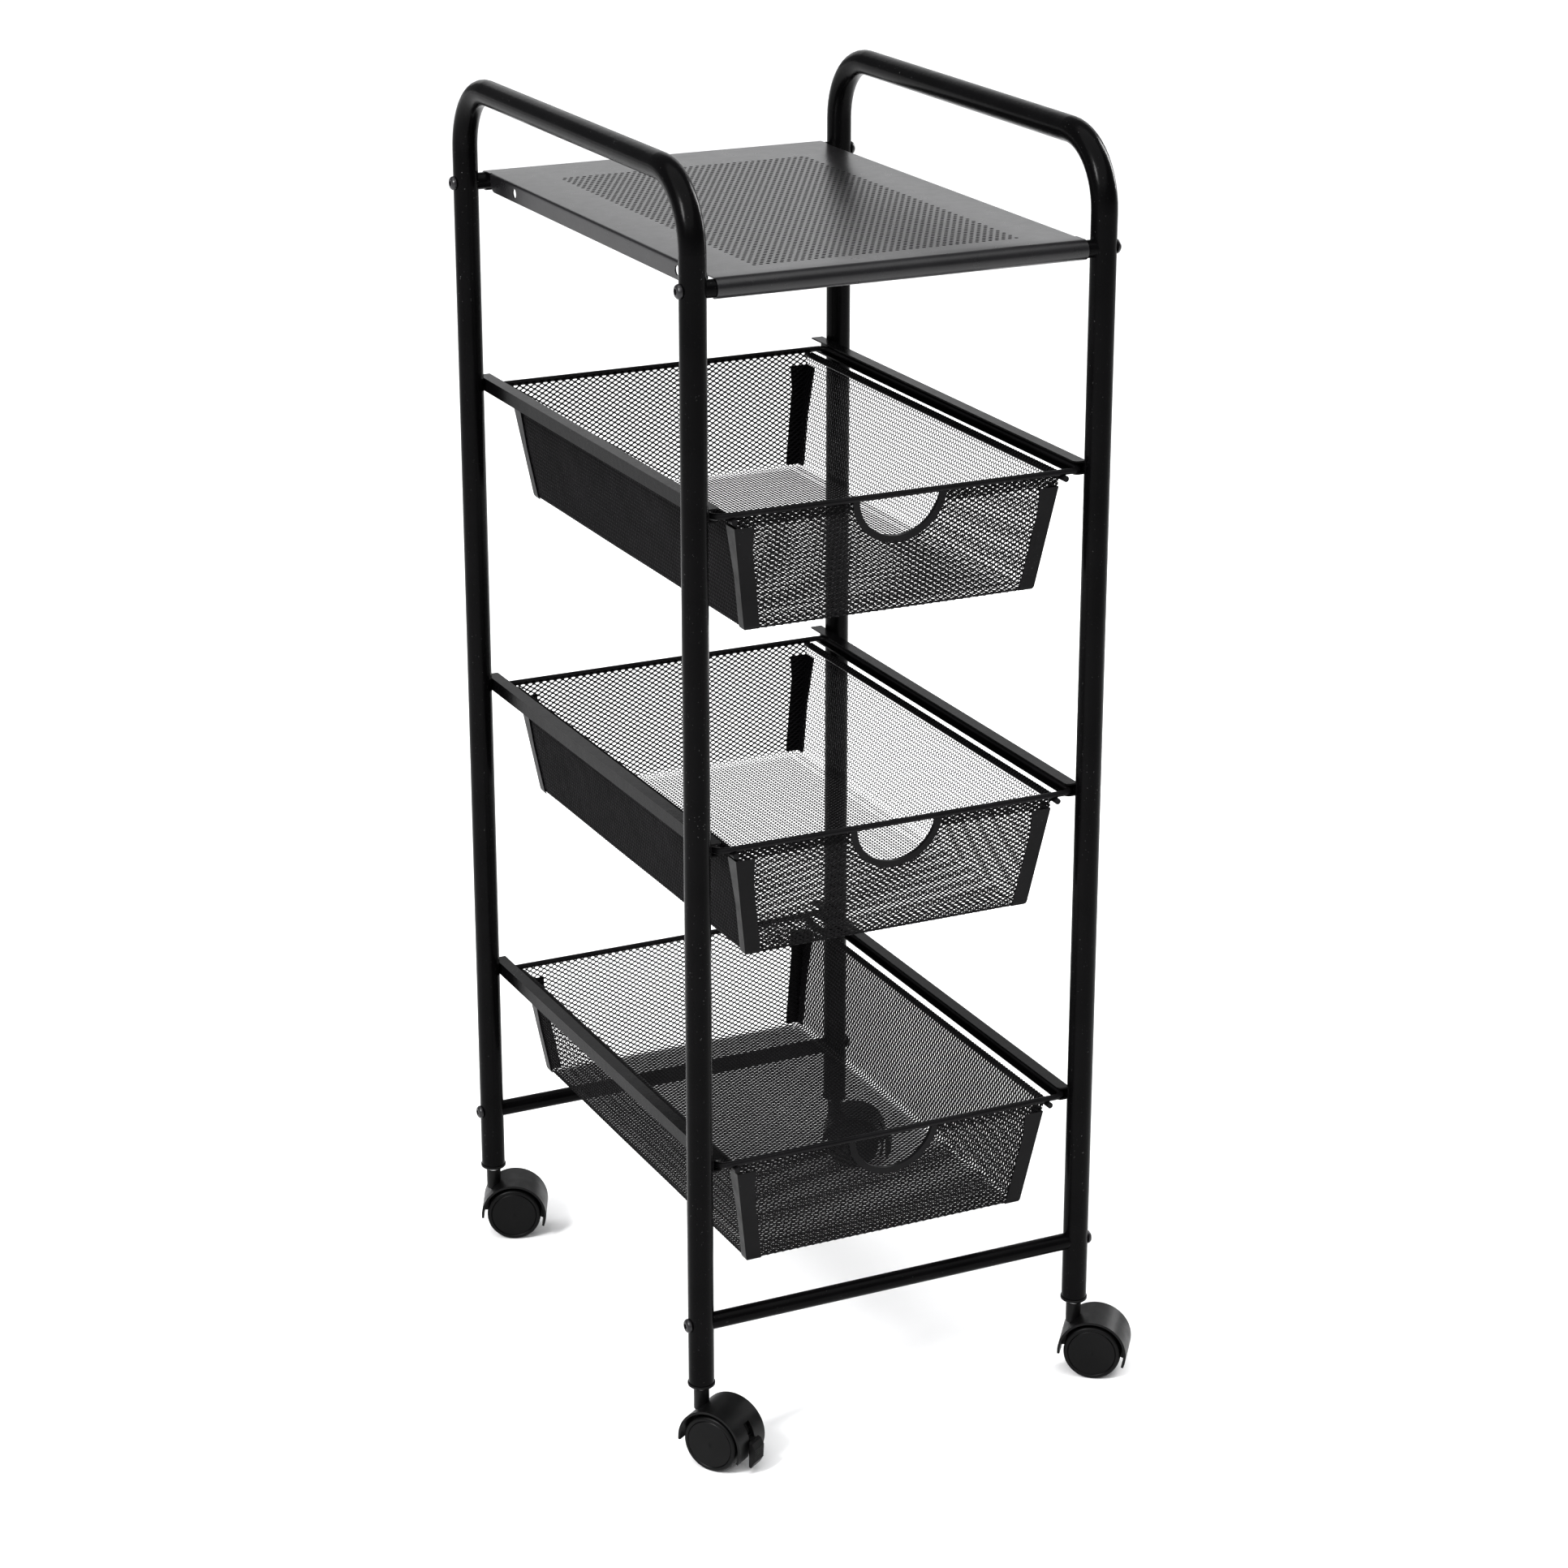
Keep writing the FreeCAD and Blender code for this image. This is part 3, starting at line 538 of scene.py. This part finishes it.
def lattice(u_span, v_span, tilt):
    """The flat net that covers a span: points (u, v, lift) and faces. The long way of the diamonds
    is along u, and each strand is turned about it, so that a hole's two long sides differ."""
    step_u, step_v = MESH_STEP
    slope = math.hypot(step_u, step_v) / 2
    reach_u = step_u / 2 - STRAND * slope / step_v
    reach_v = step_v / 2 - STRAND * slope / step_u
    flat_u = reach_u * HOLE_FLAT
    flat_v = reach_v * HOLE_FULL
    points = []
    index = {}
    faces = []

    def crossing(i, j):
        if (i, j) not in index:
            index[(i, j)] = len(points)
            points.append((i * step_u / 2, j * step_v / 2, 0.0))
        return index[(i, j)]

    columns = range(math.floor(2 * u_span[0] / step_u) - 1, math.ceil(2 * u_span[1] / step_u) + 2)
    rows = range(math.floor(2 * v_span[0] / step_v) - 1, math.ceil(2 * v_span[1] / step_v) + 2)
    for j in rows:
        for i in columns:
            if (i + j) % 2 == 0:
                continue
            u = i * step_u / 2
            v = j * step_v / 2
            right, top = crossing(i + 1, j), crossing(i, j + 1)
            left, low = crossing(i - 1, j), crossing(i, j - 1)
            start = len(points)
            points.extend([
                (u + reach_u, v, 0.0),
                (u + flat_u, v + flat_v, tilt), (u - flat_u, v + flat_v, tilt),
                (u - reach_u, v, 0.0),
                (u - flat_u, v - flat_v, -tilt), (u + flat_u, v - flat_v, -tilt),
            ])
            a, b, c, d, e, f = range(start, start + 6)
            faces.extend([
                (right, top, b, a), (top, c, b), (top, left, d, c),
                (left, low, e, d), (low, f, e), (low, right, a, f),
            ])
    return points, faces


def clipped(points, faces, outline):
    """A bmesh of the net's faces cut to a convex outline, given anticlockwise in (u, v)."""
    bm = bmesh.new()
    made = [bm.verts.new(point) for point in points]
    for face in faces:
        bm.faces.new([made[i] for i in face])
    for (u0, v0), (u1, v1) in zip(outline, outline[1:] + outline[:1]):
        out = Vector((v1 - v0, u0 - u1, 0)).normalized()
        everything = list(bm.verts) + list(bm.edges) + list(bm.faces)
        bmesh.ops.bisect_plane(bm, geom=everything, dist=CUT_SNAP, plane_co=(u0, v0, 0),
                               plane_no=out, clear_outer=True)
    return bm


def lean(axis):
    """How far a wall leans out from upright, in radians. Axis 0 is a side wall, 1 an end wall."""
    return math.atan((TOP_HALF[axis] - BOTTOM_HALF[axis]) / (BASKET_TOP - BASKET_BOTTOM))


def base_fold(axis):
    """A wall's outer surface in section where it turns in: (out, z) from its foot to the floor."""
    angle = lean(axis)
    r = BASE_FOLD_R
    centre = (BOTTOM_HALF[axis] + r * math.tan(angle) - r / math.cos(angle), BASKET_BOTTOM + r)
    fold = arc(centre, r, -math.degrees(angle), -90, BASE_FOLD_STEPS)
    return fold + [(centre[0] - FLOOR_INSET, BASKET_BOTTOM)]


def path_lengths(path):
    """The length along a path up to each of its points."""
    lengths = [0.0]
    for (h0, z0), (h1, z1) in zip(path, path[1:]):
        lengths.append(lengths[-1] + math.hypot(h1 - h0, z1 - z0))
    return lengths


def out_at(axis, z):
    """How far out a wall's outer surface is at a height, the base's fold included."""
    rising = base_fold(axis)[-2::-1] + [(TOP_HALF[axis], BASKET_TOP)]
    return float(np.interp(z, [point[1] for point in rising], [point[0] for point in rising]))


def folded(bm, path, inset, axis, first_v=0.0, wave=0.0):
    """Moves a flat net onto a path: v runs down it from first_v, u lies across it. The wave moves
    the net gently in and out, and dies away at both ends of the path."""
    lengths = path_lengths(path)
    normals = []
    for (h0, z0), (h1, z1) in zip(path, path[1:]):
        long = math.hypot(h1 - h0, z1 - z0)
        normals.append(((z0 - z1) / long, (h1 - h0) / long))
    between = [((a[0] + b[0]) / 2, (a[1] + b[1]) / 2) for a, b in zip(normals, normals[1:])]
    turned = [normals[0]] + between + [normals[-1]]
    flat = np.array([vert.co for vert in bm.verts])
    u = flat[:, 0]
    v = flat[:, 1] - first_v
    out = flat[:, 2] - inset
    ripple = 1 + np.sin(u / WAVE_ACROSS) * np.sin(v / WAVE_DOWN)
    out -= wave * np.sin(math.pi * v / lengths[-1]) * ripple
    h, z = (np.interp(v, lengths, [point[k] for point in path]) for k in (0, 1))
    out_h, out_z = (np.interp(v, lengths, [normal[k] for normal in turned]) for k in (0, 1))
    h = h + out * out_h
    z = z + out * out_z
    for vert, across, away, height in zip(bm.verts, u, h, z):
        vert.co = (away, across, height) if axis == 0 else (across, away, height)


def rim_wrap():
    """A side wall's way up over its rim rod, from its free edge outside to the wall's tangent."""
    angle = lean(0)
    rod_x, rod_z = RIM_ROD
    gap = (rod_x - out_at(0, rod_z)) * math.cos(angle)
    lean_deg = math.degrees(angle)
    free_edge = (rod_x + gap * RIM_EDGE_GAP, rod_z - SIDE_HEM)
    return [free_edge] + arc(RIM_ROD, gap, -lean_deg, 180 - lean_deg, RIM_FOLD_STEPS)


def wall(axis, rim, tilt, floor_half, cut=None):
    """One wall with its rim and its base fold, as a bmesh on the basket's positive side. It carries
    on the floor's net, so the diamonds lie flat on the end walls and stand upright on the sides."""
    fold = base_fold(axis)
    path = rim + fold
    lengths = path_lengths(path)
    total = lengths[-1]
    first_v = -(floor_half[axis] + total)
    heights = [BASKET_TOP] * len(rim) + [z for _, z in fold]
    halves = [out_at(1 - axis, z) - 2 * SKIN for z in heights[:-1]] + [floor_half[1 - axis]]
    edge = [(half, v + first_v) for half, v in zip(halves, lengths)]
    outline = [(-u, v) for u, v in edge[::-1]] + edge
    across = (-halves[0], halves[0])
    along = (first_v, first_v + total)
    if axis == 0:
        points, faces = lattice(along, across, tilt)
        points = [(v, u, lift) for u, v, lift in points]
        faces = [face[::-1] for face in faces]
    else:
        points, faces = lattice(across, along, tilt)
    if cut:
        points, faces = cut(points, faces, first_v)
    bm = clipped(points, faces, outline)
    folded(bm, path, SKIN + abs(tilt), axis, first_v, WALL_WAVE)
    return bm


def finger_cut(points, faces, first_v):
    """Takes away the net inside the handle's half ring and draws its edge in under the ring."""
    slant = math.cos(lean(1))
    loop_v = first_v + BASKET_TOP / slant
    radius = [math.hypot(u, (v - loop_v) * slant) for u, v, _ in points]
    kept = [face for face in faces if max(radius[i] for i in face) > TRIM_MIDDLE_R]
    moved = []
    for (u, v, lift), r in zip(points, radius):
        grow = max(1.0, TRIM_MIDDLE_R / max(r, 1.0))
        moved.append((u * grow, loop_v + (v - loop_v) * grow, lift))
    return moved, kept


def jitter(low):
    return random.uniform(low, 1) * HEM_JITTER


def front_hem(tilt):
    """The net's folded-down edge outside the front wall, under the wire, beside the handle."""
    path = []
    reach = []
    for z in (HEM_TOP, HEM_FOOT):
        path.append((out_at(1, z) + HEM_GAP, z))
        reach.append(out_at(0, z) - 2 * SKIN)
    total = path_lengths(path)[-1]
    outline = [(TRIM_OUT_R, 0.0), (reach[0], 0.0), (reach[1], total), (TRIM_OUT_R, total)]
    whole = bmesh.new()
    for side in (-1, 1):
        points, faces = lattice((TRIM_OUT_R, reach[0]), (0.0, total), tilt)
        points = [(u + jitter(-1), v + jitter(-1), lift + jitter(0)) for u, v, lift in points]
        part = clipped(points, faces, outline)
        for vert in part.verts:
            vert.co.x *= side
        folded(part, path, 0.0, 1)
        holder = bpy.data.meshes.new("hem")
        part.to_mesh(holder)
        part.free()
        whole.from_mesh(holder)
        bpy.data.meshes.remove(holder)
    return whole


def floor_net(tilt, floor_half, low, high):
    """The part of the floor's net from low to high in y, sagging a little to its middle."""
    points, faces = lattice((-floor_half[0], floor_half[0]), (-floor_half[1], floor_half[1]), tilt)
    half_x = floor_half[0]
    outline = [(-half_x, low), (half_x, low), (half_x, high), (-half_x, high)]
    bm = clipped(points, faces, outline)
    for vert in bm.verts:
        sag = FLOOR_SAG
        for place, half in zip(vert.co, floor_half):
            sag *= math.cos(place / half * math.pi / 2) ** 2
        vert.co.z = BASKET_BOTTOM + SKIN + abs(tilt) - vert.co.z - sag
    return bm


def basket_nets(tilt, middle_y, tag):
    """The panels of one basket as thin meshes in the row frame, at the height of its wire loop."""
    floor_half = (base_fold(0)[-1][0], base_fold(1)[-1][0])
    end_top = (TOP_HALF[1], BASKET_TOP)
    rear_rim = [(TOP_HALF[1] + REAR_LAP[0], REAR_LAP[1]), end_top]
    side = wall(0, rim_wrap(), tilt, floor_half)
    # each panel with the signs that put it on its own side; the sheet's tilt keeps one sense from
    # front to rear, so the rear wall's runs the other way
    panels = {
        "floor_front": (floor_net(tilt, floor_half, -floor_half[1], 0.0), 1, 1),
        "floor_rear": (floor_net(tilt, floor_half, 0.0, floor_half[1]), 1, 1),
        "left": (side.copy(), -1, 1),
        "right": (side, 1, 1),
        "front": (wall(1, [end_top], tilt, floor_half, finger_cut), 1, -1),
        "rear": (wall(1, rear_rim, -tilt, floor_half), 1, 1),
        "front_hem": (front_hem(tilt), 1, -1),
    }
    meshes = {}
    for name, (bm, sign_x, sign_y) in panels.items():
        for vert in bm.verts:
            vert.co.x *= sign_x
            vert.co.y = vert.co.y * sign_y + middle_y
        bmesh.ops.recalc_face_normals(bm, faces=bm.faces)
        meshes[name] = thickened(f"{tag}_{name}_net", bm, MESH_SHEET)
    return meshes


def baskets():
    """The three drawers' baskets. The bottom one's sheet lies the other way up, so its floor looks
    denser and its walls more open from above."""
    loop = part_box("top_drawer_wire_frame")
    middle_y = ((loop[0].y + loop[1].y) / 2 - TO_ROW.translation.y) / MM
    open_nets = basket_nets(OPEN_TILT, middle_y, "Open")
    dense_nets = basket_nets(DENSE_TILT, middle_y, "Dense")
    for level, nets in zip(LEVELS, (open_nets, open_nets, dense_nets)):
        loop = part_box(f"{level}_drawer_wire_frame")
        height = (loop[0].z + loop[1].z) / 2
        for name, mesh in nets.items():
            piece = piece_of(f"{level}_basket_{name}", mesh, "mesh_coat", f"{level}_drawer")
            piece.location.z = height
            if name == "floor_front":
                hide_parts(f"{level}_drawer_basket")


# Studio

def studio():
    floor = bpy.data.meshes.new("Studio_floor")
    reach = FLOOR_REACH
    corners = [(-reach, -reach, 0), (reach, -reach, 0), (reach, reach, 0), (-reach, reach, 0)]
    floor.from_pydata(corners, [], [(0, 1, 2, 3)])
    floor.materials.append(paper())
    plane = bpy.data.objects.new("Studio_floor", floor)
    bpy.context.collection.objects.link(plane)
    world = bpy.data.worlds.new("Studio")
    bpy.context.scene.world = world
    world.use_nodes = True
    back = world.node_tree.nodes["Background"]
    back.inputs["Color"].default_value = WORLD_COLOUR
    back.inputs["Strength"].default_value = WORLD_STRENGTH
    bpy.context.scene.view_settings.view_transform = "Standard"
    bpy.context.scene.view_settings.gamma = VIEW_GAMMA


def lamp(name, kind, place, aim, power):
    light = bpy.data.lights.new(name, kind)
    light.energy = power
    holder = bpy.data.objects.new(name, light)
    bpy.context.collection.objects.link(holder)
    holder.location = place
    holder.rotation_euler = (Vector(aim) - Vector(place)).to_track_quat("-Z", "Y").to_euler()
    return holder


def softbox(name, place, aim, size, watts):
    holder = lamp(name, "AREA", place, aim, watts)
    holder.data.shape = "RECTANGLE"
    holder.data.size, holder.data.size_y = size
    holder.visible_camera = False


def lights():
    """A wide overhead scrim, a sharper key from the left, and softboxes for the tubes' edges."""
    sky = lamp("Overhead_scrim", "SUN", SKY_PLACE, (0, 0, 0), SKY_STRENGTH)
    sky.data.angle = math.radians(SKY_ANGLE_DEG)
    for name, settings in SOFTBOXES.items():
        softbox(name, **settings)


def camera():
    data = bpy.data.cameras.new("Camera")
    data.lens = CAMERA_LENS
    data.sensor_width = CAMERA_SENSOR
    data.clip_end = CAMERA_REACH
    eye = bpy.data.objects.new("Camera", data)
    bpy.context.collection.objects.link(eye)
    eye.location = TO_ROW @ Vector(CAMERA_PLACE)
    eye.rotation_euler = (math.radians(90 - CAMERA_DOWN_DEG), 0, math.radians(-CAMERA_TURN_DEG))
    bpy.context.scene.camera = eye


random.seed(HEM_SEED)
paint_cad_nodes()
shelf()
baskets()
studio()
lights()
camera()
